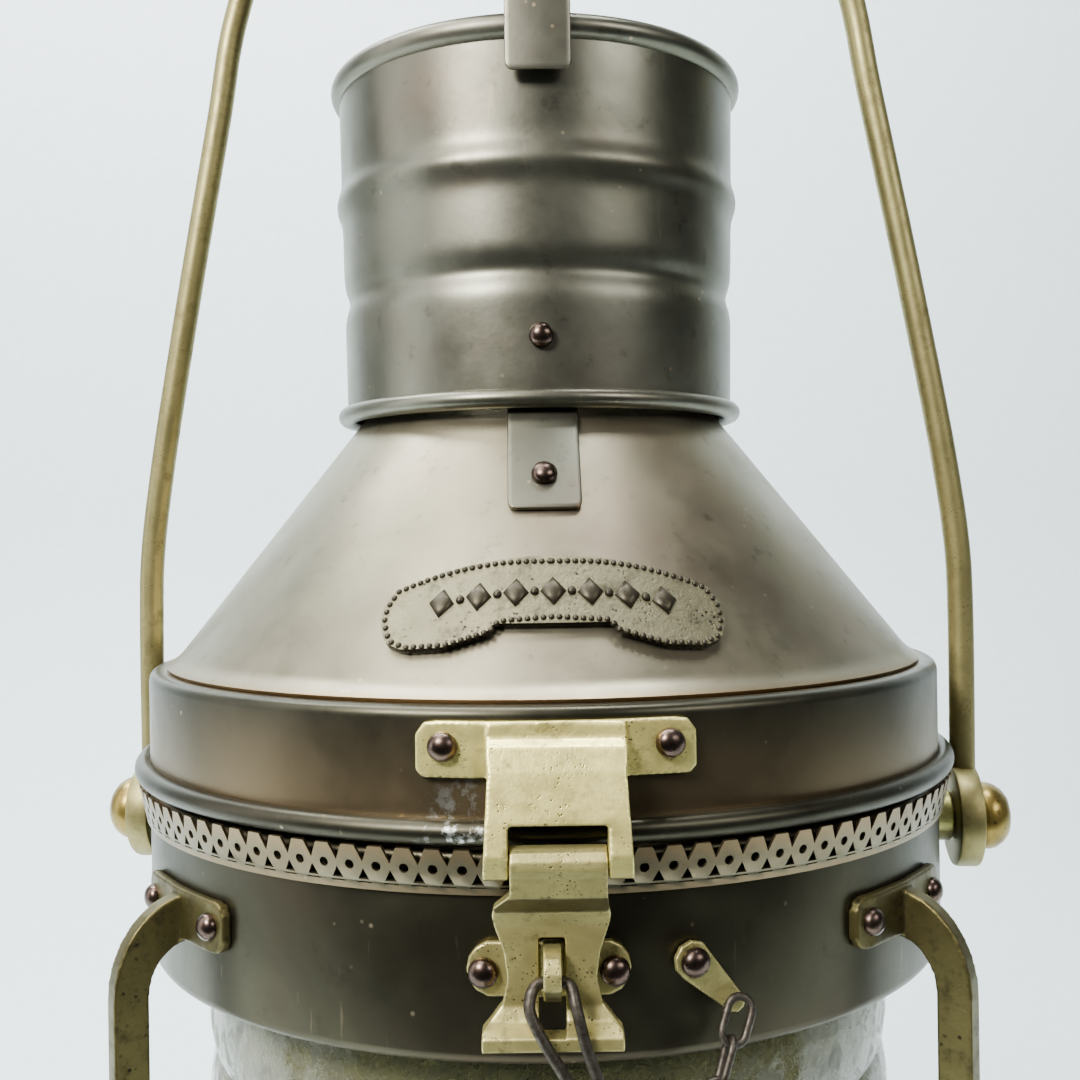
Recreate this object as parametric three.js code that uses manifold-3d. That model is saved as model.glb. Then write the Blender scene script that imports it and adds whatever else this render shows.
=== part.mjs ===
// A ship's anchor lantern: an oil burner inside a ribbed glass lens, with a hinged ventilated hood,
// a hasp and staple, four guard bars and a swinging bail.
// Millimetres, +Z up, the hasp faces -Y, and the origin is the centre of the base's underside.
import * as THREE from 'three';
import { mergeVertices } from 'three/addons/utils/BufferGeometryUtils.js';
import Module from 'manifold-3d';

const wasm = await Module();
wasm.setup();

// Driving dimensions
const ROUND = 48; // facets round the big shells
const GAP = 0.3; // between neighbouring pieces
const SHEET = 1.4; // sheet metal thickness
const DRUM_R = 125;
const DRUM_Z = [200, 250.5];
const BASE_TOP_Z = 49;
const BEAD_R = 126.6;
const BEAD_Z = 255;
const BEAD_ROLL = 3;
const SKIRT_TOP_Z = 284;
const CONE_FOOT = [118.2, 284.8];
const CONE_HEAD = [60, 358];
const FLUE_R = 50;
const COWL_R = [62.8, 64.4];
const COWL_Z = [362.3, 467];
const CAP_R = 66;
const CAP_Z = [532, 550];
const LENS_R = 108.5;
const PLATE = 2; // riveted brass plates
const RIVET_R = 3.6;
const RIVET_HEIGHT = 3;
const PIN_R = 1.8;
const HINGE_Y = 134;
const HINGE_Z = 252;
const KNUCKLE_R = 4.2;
const HASP_Y = 133.5;
const HASP_Z = 249.5;
const HASP_HALF_WIDTH = 11;
const HASP_X = 2.8; // the hasp sits a little right of the middle
const STAPLE_X = 1.1;
const STAPLE_Z = 224.5;
const STAPLE_EYE = [133.2, 5.8]; // how far forward its centre is, and its radius
const GUARD_AZIMUTHS = [48.5, 130, -130, -51];
const GUARD_FOOT_Z = 224;
const GUARD_THICK = 5.2;
const TRUNNION_Z = 231.5;
const TRUNNION_YAW = -6; // the bail's axle is a little off square to the hasp
const STUD_R = 4;
const BAIL_R = 135;
const ROD_R = 4;
const EYE_R = 16;
const EYE_HALF = 3.8;
const STRAP_AZIMUTHS = [0.8, 120.8, 240.8];
const CAP_LEG_AZIMUTHS = [0.8, 180.8];
const NAMEPLATE_AZIMUTH = 1.6;
const FONT_R = 70;
const FONT_Z = [6, 44];
const WICK_KNOB_Z = 60;

const rad = THREE.MathUtils.degToRad;

const finish = {
  bronze: { color: 0x5b5346, roughness: 0.42, metalness: 1 },
  brass: { color: 0xb09a5c, roughness: 0.45, metalness: 1 },
  brassPolished: { color: 0xc9a65a, roughness: 0.3, metalness: 1 },
  rivet: { color: 0x5a4c42, roughness: 0.35, metalness: 1 },
  steel: { color: 0x6b625a, roughness: 0.6, metalness: 1 },
  glass: { color: 0xcdd6c8, roughness: 0.1, metalness: 0 },
  rubber: { color: 0x2d2a26, roughness: 0.8, metalness: 0 },
  wick: { color: 0xe4dcc8, roughness: 0.95, metalness: 0 },
};

// ---------- geometry helpers ----------

function signedVolume(geometry) {
  const at = geometry.getAttribute('position');
  const [a, b, c] = [new THREE.Vector3(), new THREE.Vector3(), new THREE.Vector3()];
  let sum = 0;
  for (let i = 0; i < geometry.index.count; i += 3) {
    a.fromBufferAttribute(at, geometry.index.getX(i));
    b.fromBufferAttribute(at, geometry.index.getX(i + 1));
    c.fromBufferAttribute(at, geometry.index.getX(i + 2));
    sum += a.dot(b.cross(c));
  }
  return sum / 6;
}

// One closed skin with shared vertices, no slivers of zero area, and faces pointing out.
function weld(geometry) {
  const bare = new THREE.BufferGeometry();
  bare.setAttribute('position', geometry.getAttribute('position'));
  bare.setIndex(geometry.index);
  const merged = mergeVertices(bare, 1e-3);
  const kept = [];
  for (let i = 0; i < merged.index.count; i += 3) {
    const corners = [0, 1, 2].map((k) => merged.index.getX(i + k));
    if (new Set(corners).size === 3) kept.push(...corners);
  }
  merged.setIndex(kept);
  if (signedVolume(merged) < 0) merged.setIndex(kept.reverse());
  return merged;
}

function toSolid(geometry) {
  const skin = weld(geometry);
  return new wasm.Manifold(new wasm.Mesh({
    numProp: 3,
    vertProperties: new Float32Array(skin.getAttribute('position').array),
    triVerts: new Uint32Array(skin.index.array),
  }));
}

function toGeometry(solid) {
  const mesh = solid.getMesh();
  const geometry = new THREE.BufferGeometry();
  geometry.setAttribute('position', new THREE.BufferAttribute(mesh.vertProperties, mesh.numProp));
  geometry.setIndex([...mesh.triVerts]);
  return geometry;
}

function join(...geometries) {
  return toGeometry(geometries.map(toSolid).reduce((whole, next) => whole.add(next)));
}

function cut(geometry, ...tools) {
  return toGeometry(tools.map(toSolid).reduce((rest, tool) => rest.subtract(tool), toSolid(geometry)));
}

function common(first, second) {
  return toGeometry(toSolid(first).intersect(toSolid(second)));
}

function arc([x, y], radius, from, to, steps) {
  return Array.from({ length: steps + 1 }, (_, i) => {
    const angle = rad(from + ((to - from) * i) / steps);
    return [x + radius * Math.cos(angle), y + radius * Math.sin(angle)];
  });
}

// The closed outline of bent sheet whose middle follows a path.
function bentSheet(path, thickness) {
  const points = path.map(([x, y]) => new THREE.Vector2(x, y));
  const leftOf = (from, to) => {
    const along = to.clone().sub(from).normalize();
    return new THREE.Vector2(-along.y, along.x);
  };
  const side = (sign) => points.map((point, i) => {
    const before = i > 0 ? leftOf(points[i - 1], point) : leftOf(point, points[i + 1]);
    const after = i < points.length - 1 ? leftOf(point, points[i + 1]) : before;
    const mitre = before.clone().add(after).normalize();
    const reach = (sign * thickness) / 2 / mitre.dot(before);
    return [point.x + mitre.x * reach, point.y + mitre.y * reach];
  });
  return [...side(1), ...side(-1).reverse()];
}

// Turns an outline of [radius, height] about Z. It closes on itself unless it starts on the axis.
function spun(outline, facets = ROUND) {
  const points = outline.map(([r, z]) => new THREE.Vector2(r, z));
  if (outline[0][0] > 0) points.push(points[0].clone());
  return new THREE.LatheGeometry(points, facets).rotateX(Math.PI / 2);
}

function tube(inner, outer, low, high, facets = ROUND) {
  return spun([[inner, low], [outer, low], [outer, high], [inner, high]], facets);
}

function rod(radius, length, facets = 16) {
  return new THREE.CylinderGeometry(radius, radius, length, facets);
}

function shapeOf(outline) {
  return new THREE.Shape(outline.map(([x, y]) => new THREE.Vector2(x, y)));
}

// A front outline of [x, z] made into a bar that runs from the axis forward to -Y.
function forward(outline, depth = 200) {
  return new THREE.ExtrudeGeometry(shapeOf(outline), { depth, bevelEnabled: false }).rotateX(Math.PI / 2);
}

// A side outline of [distance forward, z] made into a bar along X, centred on the YZ plane.
function sideways(outline, width) {
  const turned = outline.map(([out, z]) => [-out, z]);
  const bar = new THREE.ExtrudeGeometry(shapeOf(turned), { depth: width, bevelEnabled: false });
  bar.applyMatrix4(new THREE.Matrix4().set(0, 0, 1, -width / 2, 1, 0, 0, 0, 0, 1, 0, 0, 0, 0, 0, 1));
  return bar;
}

// A plate bent round the drum: a front outline cut from a ring.
function curvedPlate(outline, inner, thickness, azimuth = 0) {
  const heights = outline.map(([, z]) => z);
  const ring = tube(inner, inner + thickness, Math.min(...heights) - 1, Math.max(...heights) + 1);
  return common(ring, forward(outline).rotateZ(rad(azimuth)));
}

function box(low, high) {
  const size = high.map((value, i) => value - low[i]);
  return new THREE.BoxGeometry(...size).translate(...low.map((value, i) => value + size[i] / 2));
}

function swept(curve, radius, steps, sides = 8) {
  const section = shapeOf(arc([0, 0], radius, 0, 360 - 360 / sides, sides - 1));
  return new THREE.ExtrudeGeometry(section, { steps, bevelEnabled: false, extrudePath: curve });
}

function rivetHead() {
  return spun([[0, 0], [RIVET_R, 0], ...arc([0, 0.4], 1, 20, 70, 2).map(([c, s]) =>
    [c * RIVET_R * 0.98, 0.4 + (s - 0.4) * (RIVET_HEIGHT - 0.4)]), [0, RIVET_HEIGHT]], 12);
}

const lantern = new THREE.Group();
lantern.name = 'ship_lantern';

function add(name, look, geometry, place = () => {}) {
  const mesh = new THREE.Mesh(weld(geometry), new THREE.MeshStandardMaterial(finish[look]));
  mesh.name = name;
  place(mesh);
  lantern.add(mesh);
  return mesh;
}

// A rivet head on a surface at a distance out, a height and an azimuth, tilted up by lean degrees.
function addRivet(name, out, z, azimuth, lean = 0) {
  const head = rivetHead().rotateX(rad(90 - lean));
  head.translate(0, -out, z).rotateZ(rad(azimuth));
  return add(name, 'rivet', head);
}

function placeAround(azimuth) {
  return (mesh) => {
    mesh.rotation.z = rad(azimuth);
  };
}

const azimuthOf = (x, radius = DRUM_R) => THREE.MathUtils.radToDeg(Math.asin(x / radius));

// ---------- base, lens and drum ----------

function baseTray() {
  const wall = DRUM_R - SHEET / 2;
  const upper = bentSheet([[97, BASE_TOP_Z - 9], [109, BASE_TOP_Z - 9], [109, BASE_TOP_Z - SHEET / 2],
    [wall - 3, BASE_TOP_Z - SHEET / 2], [wall, BASE_TOP_Z - 3.5], [wall, 4]], SHEET);
  const foot = spun(arc([BEAD_R, BEAD_ROLL], BEAD_ROLL, 0, 315, 7));
  return join(spun(upper), foot);
}

function basePlate() {
  const rim = DRUM_R - SHEET - GAP;
  const seat = FONT_R + GAP;
  return spun([[0, 0], [rim - 2, 0], [rim - 2, 4], [rim, 4], [rim, 5.4], [rim - 4, 5.4], [rim - 4, 2],
    [seat + 3, 2], [seat + 3, 12], [seat, 12], [seat, 2], [0, 2]]);
}

function lens() {
  const [low, high] = [BASE_TOP_Z - 9 + 1.3, DRUM_Z[0] + 8];
  const ribs = 5;
  const waves = Array.from({ length: 2 * ribs + 1 }, (_, i) =>
    [LENS_R - (i % 2 ? 0 : 2.5), 56 + (i * (194 - 56)) / (2 * ribs)]);
  return spun([[100, low], [LENS_R - 1, low], ...waves, [LENS_R - 1, high], [100, high]]);
}

function drum() {
  const [low, high] = DRUM_Z;
  const wall = DRUM_R - SHEET / 2;
  const rim = high - SHEET / 2;
  return spun(bentSheet([[97, low + 9.5], [109, low + 9.5], [109, low + SHEET / 2],
    [wall - 2, low + SHEET / 2], [wall, low + 2.7], [wall, rim - 2], [wall - 2, rim], [113, rim]], SHEET));
}

function ventGallery() {
  return spun(bentSheet([[125.8, 240.4], [128.1, 251.3]], 0.9));
}

add('base_tray', 'bronze', baseTray());
add('base_plate', 'bronze', basePlate());
add('lens', 'glass', lens());
add('lens_gasket_lower', 'rubber', tube(98, 99.6, BASE_TOP_Z - 8, BASE_TOP_Z + 1));
add('lens_gasket_upper', 'rubber', tube(98, 99.6, DRUM_Z[0], DRUM_Z[0] + 8.4));
add('drum', 'bronze', drum());
add('vent_gallery', 'bronze', ventGallery());

// ---------- guards ----------

function guard() {
  const inner = DRUM_R + GAP;
  const mirror = DRUM_Z[0] + BASE_TOP_Z;
  const bend = (across, up, from, to) => arc([0, 0], 1, from, to, 8).map(([c, s]) =>
    [inner + across * c, DRUM_Z[0] + 4 + up * s]);
  const half = [...bend(11, 12.5, 90, 0), ...bend(20.5, 25, 0, 90)];
  const inside = half.slice(0, 9);
  const outside = half.slice(9);
  const flipped = (points) => points.map(([r, z]) => [r, mirror - z]).reverse();
  const bar = sideways([...inside, ...flipped(inside), ...flipped(outside), ...outside], GUARD_THICK);
  const foot = (centre) => curvedPlate(
    [[-23.6, centre - 3.4], [-22.4, centre - 5.8], [-20, centre - 6.8], [20, centre - 6.8],
      [22.4, centre - 5.8], [23.6, centre - 3.4], [23.6, centre + 3.4], [22.4, centre + 5.8],
      [20, centre + 6.8], [-20, centre + 6.8], [-22.4, centre + 5.8], [-23.6, centre + 3.4]], inner, 2.6);
  return join(bar, foot(GUARD_FOOT_Z), foot(mirror - GUARD_FOOT_Z));
}

GUARD_AZIMUTHS.forEach((azimuth, i) => add(`guard_${i + 1}`, 'brass', guard(), placeAround(azimuth)));

// ---------- bail and its trunnions ----------

function alongX(geometry) {
  return geometry.rotateZ(-Math.PI / 2);
}

function trunnion(side) {
  const boss = alongX(rod(8, 5.4)).translate(side * (DRUM_R + GAP + 2.7), 0, 0);
  const studEnd = BAIL_R + EYE_HALF + 5;
  const studLength = studEnd - DRUM_R - 4;
  const stud = alongX(rod(STUD_R, studLength)).translate(side * (studEnd - studLength / 2), 0, 0);
  return join(boss, stud);
}

function trunnionKnob(side) {
  const start = BAIL_R + EYE_HALF + GAP;
  const inner = STUD_R + GAP;
  const outline = [[0, 5.4], [inner, 5.4], [inner, 0], [10.5, 0], [10.5, 3.6], [9.4, 6.4], [6.4, 9.2], [0, 10.2]];
  const dome = spun(outline, 24);
  return dome.rotateY(side * Math.PI / 2).translate(side * start, 0, 0);
}

function bail() {
  const leg = [[135, 244], [135.1, 296], [134.4, 317], [131, 344], [121, 401.5], [108.6, 467], [102.4, 500],
    [86, 543], [50, 589]];
  const half = leg.map(([x, z]) => new THREE.Vector3(x, 0, z - TRUNNION_Z));
  const crown = new THREE.Vector3(0, 0, 606 - TRUNNION_Z);
  const other = half.map((point) => new THREE.Vector3(-point.x, 0, point.z)).reverse();
  const line = new THREE.CatmullRomCurve3([...half, crown, ...other]);
  const eye = (side) => alongX(rod(EYE_R, 2 * EYE_HALF, 24)).translate(side * BAIL_R, 0, 0);
  const hole = (side) => alongX(rod(STUD_R + GAP, 3 * EYE_HALF)).translate(side * BAIL_R, 0, 0);
  return cut(join(swept(line, ROD_R, 56), eye(1), eye(-1)), hole(1), hole(-1));
}

const axle = (mesh) => {
  mesh.position.z = TRUNNION_Z;
  mesh.rotation.z = rad(TRUNNION_YAW);
};
for (const [side, tag] of [[-1, 'left'], [1, 'right']]) {
  add(`trunnion_${tag}`, 'brass', trunnion(side), axle);
  add(`trunnion_knob_${tag}`, 'brassPolished', trunnionKnob(side), axle);
}
add('bail', 'brassPolished', bail(), axle);

// ---------- hood ----------

function hoodSkirt() {
  const wall = DRUM_R - SHEET / 2;
  const band = bentSheet([[wall, BEAD_Z - 2], [wall, SKIRT_TOP_Z - 3], [wall - 3, SKIRT_TOP_Z - SHEET / 2],
    [119.2, SKIRT_TOP_Z - SHEET / 2]], SHEET);
  return join(spun(band), spun(arc([BEAD_R, BEAD_Z], BEAD_ROLL, 0, 315, 7)));
}

const coneSlope = (CONE_HEAD[1] - CONE_FOOT[1]) / (CONE_FOOT[0] - CONE_HEAD[0]);
const coneLean = THREE.MathUtils.radToDeg(Math.atan(1 / coneSlope));
const coneRadius = (z) => CONE_FOOT[0] - (z - CONE_FOOT[1]) / coneSlope;

// The cone's outer face, moved out along its normal.
function onCone(z, off) {
  return [coneRadius(z) + off * Math.cos(rad(coneLean)), z + off * Math.sin(rad(coneLean))];
}

function hoodCone() {
  const half = -SHEET / 2;
  return spun(bentSheet([[118.2, 283.9], onCone(288, half), onCone(CONE_HEAD[1] - 2, half),
    [FLUE_R + GAP + SHEET / 2, 368], [FLUE_R + GAP + SHEET / 2, 374]], SHEET));
}

function innerFlue() {
  return tube(FLUE_R - 1.2, FLUE_R, 360, 452, 32);
}

function cowl() {
  const [low, high] = COWL_Z;
  const radius = (z) => THREE.MathUtils.mapLinear(z, low, high, ...COWL_R) - SHEET / 2;
  const swage = (centre, depth) => [[-6, 0], [-2.5, depth], [2.5, depth], [6, 0]].map(([dz, out]) =>
    [radius(centre + dz) + out, centre + dz]);
  const path = [[radius(low), low], ...swage(399, -1.5), ...swage(430, 1.5), [radius(high), high]];
  const wall = bentSheet(path, SHEET);
  const lowerRoll = spun(arc([63.1, low], 2.8, 0, 315, 7));
  const upperRoll = spun(arc([63.2, high], 3.8, 0, 315, 7));
  return join(spun(wall), lowerRoll, upperRoll);
}

const strapOff = GAP + 0.7;

// A strap of spun sheet, cut to a width.
function curvedStrap(path, thickness, width) {
  const half = width / 2;
  const front = [[-half, 300], [half, 300], [half, 560], [-half, 560]];
  return common(spun(bentSheet(path, thickness)), forward(front));
}

function cowlStrap() {
  const path = [onCone(330, strapOff), onCone(352, strapOff), [59.4, 360.5], [59.4, 366], [60.5, 369],
    [60.5, 387]];
  return curvedStrap(path, 1.2, 20);
}

function smokeCap() {
  const [rim, top] = CAP_Z;
  return spun([[0, top], [30, top - 2.5], [52, top - 8.5], [CAP_R, rim + 1.5], [CAP_R, rim],
    [CAP_R - 1.5, rim], [52, top - 10.1], [30, top - 4], [0, top - 1.5]].reverse());
}

function capLeg() {
  const path = [[68.6, 453], [68.6, 525], [66.4, 529.8], [56, 535.8]];
  return curvedStrap(path, 1.3, 18.5);
}

function nameplateOutline() {
  const top = arc([0, 317 - 95], 95, 65, 115, 8);
  const left = [[-43.4, 302.5], [-42, 296], [-38, 294.4]];
  const bottom = [[-17, 298.2], [-15, 300.6], [15, 300.6], [17, 298.2]];
  return [...top, ...left, ...bottom, ...left.map(([x, z]) => [-x, z]).reverse()];
}

function nameplate() {
  const shell = spun([onCone(290, GAP), onCone(290, GAP + 2.6), onCone(325, GAP + 2.6), onCone(325, GAP)]);
  return common(shell, forward(nameplateOutline()));
}

add('hood_skirt', 'bronze', hoodSkirt());
add('hood_cone', 'bronze', hoodCone());
add('inner_flue', 'bronze', innerFlue());
add('cowl', 'bronze', cowl());
add('smoke_cap', 'bronze', smokeCap());
add('nameplate', 'brass', nameplate(), placeAround(NAMEPLATE_AZIMUTH));
STRAP_AZIMUTHS.forEach((azimuth, i) => {
  add(`cowl_strap_${i + 1}`, 'bronze', cowlStrap(), placeAround(azimuth));
  const [out, z] = onCone(339, 2 * GAP + 1.4);
  addRivet(`cone_rivet_${i + 1}`, out, z, azimuth, coneLean);
  addRivet(`cowl_rivet_${i + 1}`, COWL_R[0] + 0.6, 380, azimuth);
});

CAP_LEG_AZIMUTHS.forEach((azimuth, i) => {
  add(`cap_leg_${i + 1}`, 'bronze', capLeg(), placeAround(azimuth));
});

// ---------- back hinge ----------

function knuckle(y, z, radius, low, high) {
  return alongX(rod(radius, high - low)).translate((low + high) / 2, y, z);
}

function backLeaf(path, spans) {
  const leaf = sideways(bentSheet(path, PLATE).map(([out, z]) => [-out, z]), 52);
  const others = [[-26.5, -9], [-9, 9], [9, 26.5]].filter(([low]) => !spans.some((span) => span[0] === low));
  const clear = others.map(([low, high]) =>
    knuckle(HINGE_Y, HINGE_Z, KNUCKLE_R + 0.8, low - GAP, high + GAP));
  const barrels = spans.map(([low, high]) => {
    const inset = low === -26.5 ? [0.5, GAP] : [GAP, high === 26.5 ? 0.5 : GAP];
    return knuckle(HINGE_Y, HINGE_Z, KNUCKLE_R, low + inset[0], high - inset[1]);
  });
  const bore = knuckle(HINGE_Y, HINGE_Z, PIN_R + GAP, -30, 30);
  return cut(join(cut(leaf, ...clear), ...barrels), bore);
}

add('hood_hinge_leaf', 'brass', backLeaf(
  [[DRUM_R + GAP + 1, 279], [DRUM_R + GAP + 1, 264], [132.5, 258.5], [HINGE_Y, HINGE_Z + 2.6]],
  [[-26.5, -9], [9, 26.5]],
));
add('drum_hinge_leaf', 'brass', backLeaf(
  [[DRUM_R + GAP + 1, 226], [DRUM_R + GAP + 1, 238.5], [131.6, 245], [HINGE_Y, HINGE_Z - 2.6]],
  [[-9, 9]],
));
add('hinge_pin', 'brass', knuckle(HINGE_Y, HINGE_Z, PIN_R, -28, 28));

// ---------- hasp, staple and lock ----------

function haspLeaf() {
  const half = [[0, 267.6], [31.5, 267.6], [33, 269.4], [33, 277.6], [31, 280.4], [28, 280.8], [0, 280.8]];
  const outline = [...half, ...half.slice(1, -1).reverse().map(([x, z]) => [-x, z])];
  const ears = curvedPlate(outline.map(([x, z]) => [x + HASP_X, z]), DRUM_R + GAP, PLATE);
  const side = sideways([[125.8, 280.4], [127, 280.4], [127.4, 277], [130.2, 275.4], [132.6, 270], [135.8, 260],
    [HASP_Y + 4.4, 252], [HASP_Y + 3, 246.8], [HASP_Y - 2, 246.2], [HASP_Y - 3, 247.4], [130.2, 251],
    [130.2, 258], [128.6, 262], [125.8, 265]], 40);
  const widths = [[15.8, 282], [16.4, 277], [15.9, 270], [16.4, 260], [17.2, 244]];
  const front = [...widths, ...widths.map(([x, z]) => [-x, z]).reverse()];
  const body = common(side, forward(front)).translate(HASP_X, 0, 0);
  const clear = HASP_HALF_WIDTH + GAP;
  const window = box([HASP_X - clear, -142, 240], [HASP_X + clear, -128, 258.6]);
  const bore = alongX(rod(PIN_R + GAP, 60)).translate(0, -HASP_Y, HASP_Z);
  return cut(join(ears, body), window, bore);
}

function haspFlap() {
  const side = [...arc([HASP_Y, HASP_Z], 4.4, 200, -30, 9), [136.4, 242.5], [132.4, 238.6], [131.6, 235],
    [131.6, 217], [133, 214], [137.4, 211.6], [137.4, 208.4], [134, 209.4], [130.6, 212], [128.6, 216],
    [128.6, 236], [129.4, 239.4], [131.6, 242.5]];
  const halfWidths = [[11, 256], [11, 243.5], [13, 240], [13.6, 237.6], [13.2, 235.4], [11, 229], [10.2, 223],
    [11.4, 217.4], [14.4, 214], [16, 212.4], [16, 206]];
  // the upper part follows the hasp and the lower part the staple, which is not quite in line with it
  const middle = (z) => (z > 242 ? HASP_X : STAPLE_X);
  const front = [...halfWidths.map(([x, z]) => [middle(z) + x, z]),
    ...halfWidths.map(([x, z]) => [middle(z) - x, z]).reverse()];
  const slot = box([STAPLE_X - 3.1, -140, 211.6], [STAPLE_X + 3.1, -126, 232.2]);
  const bore = alongX(rod(PIN_R + GAP, 60)).translate(0, -HASP_Y, HASP_Z);
  return cut(common(sideways(side, 50), forward(front)), slot, bore);
}

function staple() {
  const lobe = (side) => arc([0.4 + side * 12.6, STAPLE_Z - 1], 6.6, side > 0 ? -75 : 105, side > 0 ? 75 : 255, 6);
  const plate = curvedPlate([...lobe(1), ...lobe(-1)], DRUM_R + GAP, PLATE);
  const [out, radius] = STAPLE_EYE;
  const eye = sideways([[126, STAPLE_Z - radius], ...arc([out, STAPLE_Z], radius, -90, 90, 10),
    [126, STAPLE_Z + radius]], 4.1).translate(STAPLE_X, 0, 0);
  const hole = alongX(rod(2.1, 8)).translate(STAPLE_X, -135.2, STAPLE_Z - 0.9);
  return cut(join(plate, eye), hole);
}

function lockWire() {
  const line = new THREE.CatmullRomCurve3([[10.2, -139.6, 181], [7.4, -139.6, 194], [3.6, -139.6, 204],
    [-0.4, -139.8, 211], [-4.1, -138.4, 219], [-2.5, -135.8, 223.2], [1.1, -135.4, 223.6],
    [4.9, -135.8, 223.2], [6.3, -138.4, 219], [8.3, -139.8, 211], [10.6, -139.6, 204], [13.2, -139.6, 196],
    [17, -139.6, 183], [16.4, -139.6, 178], [13.2, -139.6, 177]]
    .map((point) => new THREE.Vector3(...point)));
  return swept(line, 1.4, 34, 8);
}

const TAB_AZIMUTH = 18;

function chainTab() {
  const plate = [...arc([-5, 223.3], 4.8, 60, 240, 5), ...arc([5.6, 212.4], 2.6, 240, 420, 4)];
  return forward(plate, 1.6).translate(0, -DRUM_R - GAP - 0.2, 0);
}

function chain() {
  const line = new THREE.CatmullRomCurve3([[44.2, -123, 209.6], [41, -126.6, 202], [37.4, -130, 192],
    [34, -133, 176], [30.4, -134.6, 158], [25.6, -135.6, 147], [20.4, -136.6, 150], [17.2, -137.8, 160],
    [15.4, -139, 171.6]].map((point) => new THREE.Vector3(...point)));
  return swept(line, 2.4, 36, 8);
}

add('hasp_leaf', 'brass', haspLeaf());
add('hasp_pin', 'brass', alongX(rod(PIN_R, 33)).translate(HASP_X, -HASP_Y, HASP_Z));
add('hasp_flap', 'brass', haspFlap());
addRivet('hasp_rivet_left', DRUM_R + PLATE + 2 * GAP, 275, azimuthOf(HASP_X - 26));
addRivet('hasp_rivet_right', DRUM_R + PLATE + 2 * GAP, 275, azimuthOf(HASP_X + 26));
add('staple', 'brass', staple());
addRivet('staple_rivet_left', DRUM_R + PLATE + 2 * GAP, STAPLE_Z - 1.5, azimuthOf(-14.5));
addRivet('staple_rivet_right', DRUM_R + PLATE + 2 * GAP, STAPLE_Z - 1.5, azimuthOf(15.3));
add('lock_wire', 'steel', lockWire());
add('chain_tab', 'brass', chainTab(), placeAround(TAB_AZIMUTH));
const tabRivet = rivetHead().rotateX(Math.PI / 2).translate(-5, -DRUM_R - 2.5, 223.3);
add('chain_tab_rivet', 'rivet', tabRivet, placeAround(TAB_AZIMUTH));
add('chain', 'steel', chain());

// ---------- font and burner ----------

function font() {
  const [low, high] = FONT_Z;
  const rise = 3;
  const tank = spun([[0, low], [FONT_R - 4, low], [FONT_R, low + 4], [FONT_R, high - 6], [FONT_R - 6, high],
    [17, high + rise], [17, high + rise + 4], [0, high + rise + 4]], 32);
  const filler = rod(7, 10).rotateX(Math.PI / 2).translate(-42, 0, high + 3);
  const wall = 1.5;
  const inside = spun([[0, low + wall], [FONT_R - 5, low + wall], [FONT_R - wall, low + 5],
    [FONT_R - wall, high - 6], [FONT_R - 7, high - wall], [0, high - wall]], 32);
  const throat = rod(5.4, 14).rotateX(Math.PI / 2).translate(-42, 0, high + 3);
  return cut(join(tank, filler), inside, throat);
}

function fillerCap() {
  const top = FONT_Z[1] + 8 + GAP;
  return spun([[0, top], [9, top], [9.6, top + 2], [9.6, top + 6], [8.6, top + 7.2], [0, top + 7.2]], 20)
    .translate(-42, 0, 0);
}

function burnerCollar() {
  const low = FONT_Z[1] + 7 + GAP;
  const high = low + 14;
  const body = spun([[0, low], [19, low], [19, low + 4], [15, low + 5], [15, high - 3], [24, high - 1],
    [24, high], [0, high]], 24);
  const slot = box([-9.6, -2.1, low - 1], [9.6, 2.1, high + 1]);
  const bore = alongX(rod(2, 60)).translate(30, 0, WICK_KNOB_Z);
  return cut(body, slot, bore);
}

function burnerCone() {
  const low = FONT_Z[1] + 21 + 2 * GAP;
  return spun([[23, low], [24.2, low], [22.6, low + 8], [16, low + 15], [13, low + 17], [12, low + 16],
    [15.2, low + 14], [21.4, low + 7.4]], 24);
}

function wickKnob() {
  const shaft = alongX(rod(1.6, 34)).translate(28, 0, 0);
  const wheel = alongX(rod(8.5, 4.4, 20)).translate(46, 0, 0);
  const grips = Array.from({ length: 10 }, (_, i) => {
    const notch = alongX(rod(1.1, 6, 6)).translate(46, 8.8, 0);
    return notch.rotateX(rad(36 * i));
  });
  return cut(join(shaft, wheel), ...grips);
}

add('font', 'brass', font());
add('filler_cap', 'brass', fillerCap());
add('burner_collar', 'brass', burnerCollar());
add('burner_cone', 'brass', burnerCone());
add('wick', 'wick', box([-9.2, -1.7, 53], [9.2, 1.7, 84]));
add('wick_knob', 'brass', wickKnob(), (mesh) => {
  mesh.position.z = WICK_KNOB_Z;
});

export default lantern;
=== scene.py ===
# The ship lantern's looks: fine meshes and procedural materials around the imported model.
# Lengths are in millimetres, and MM turns them into Blender's metres. Only the stage, the lights and
# the camera at the end are placed in metres.
import math

import bmesh
import bpy
from mathutils import Matrix, Vector
from mathutils.geometry import tessellate_polygon


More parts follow.
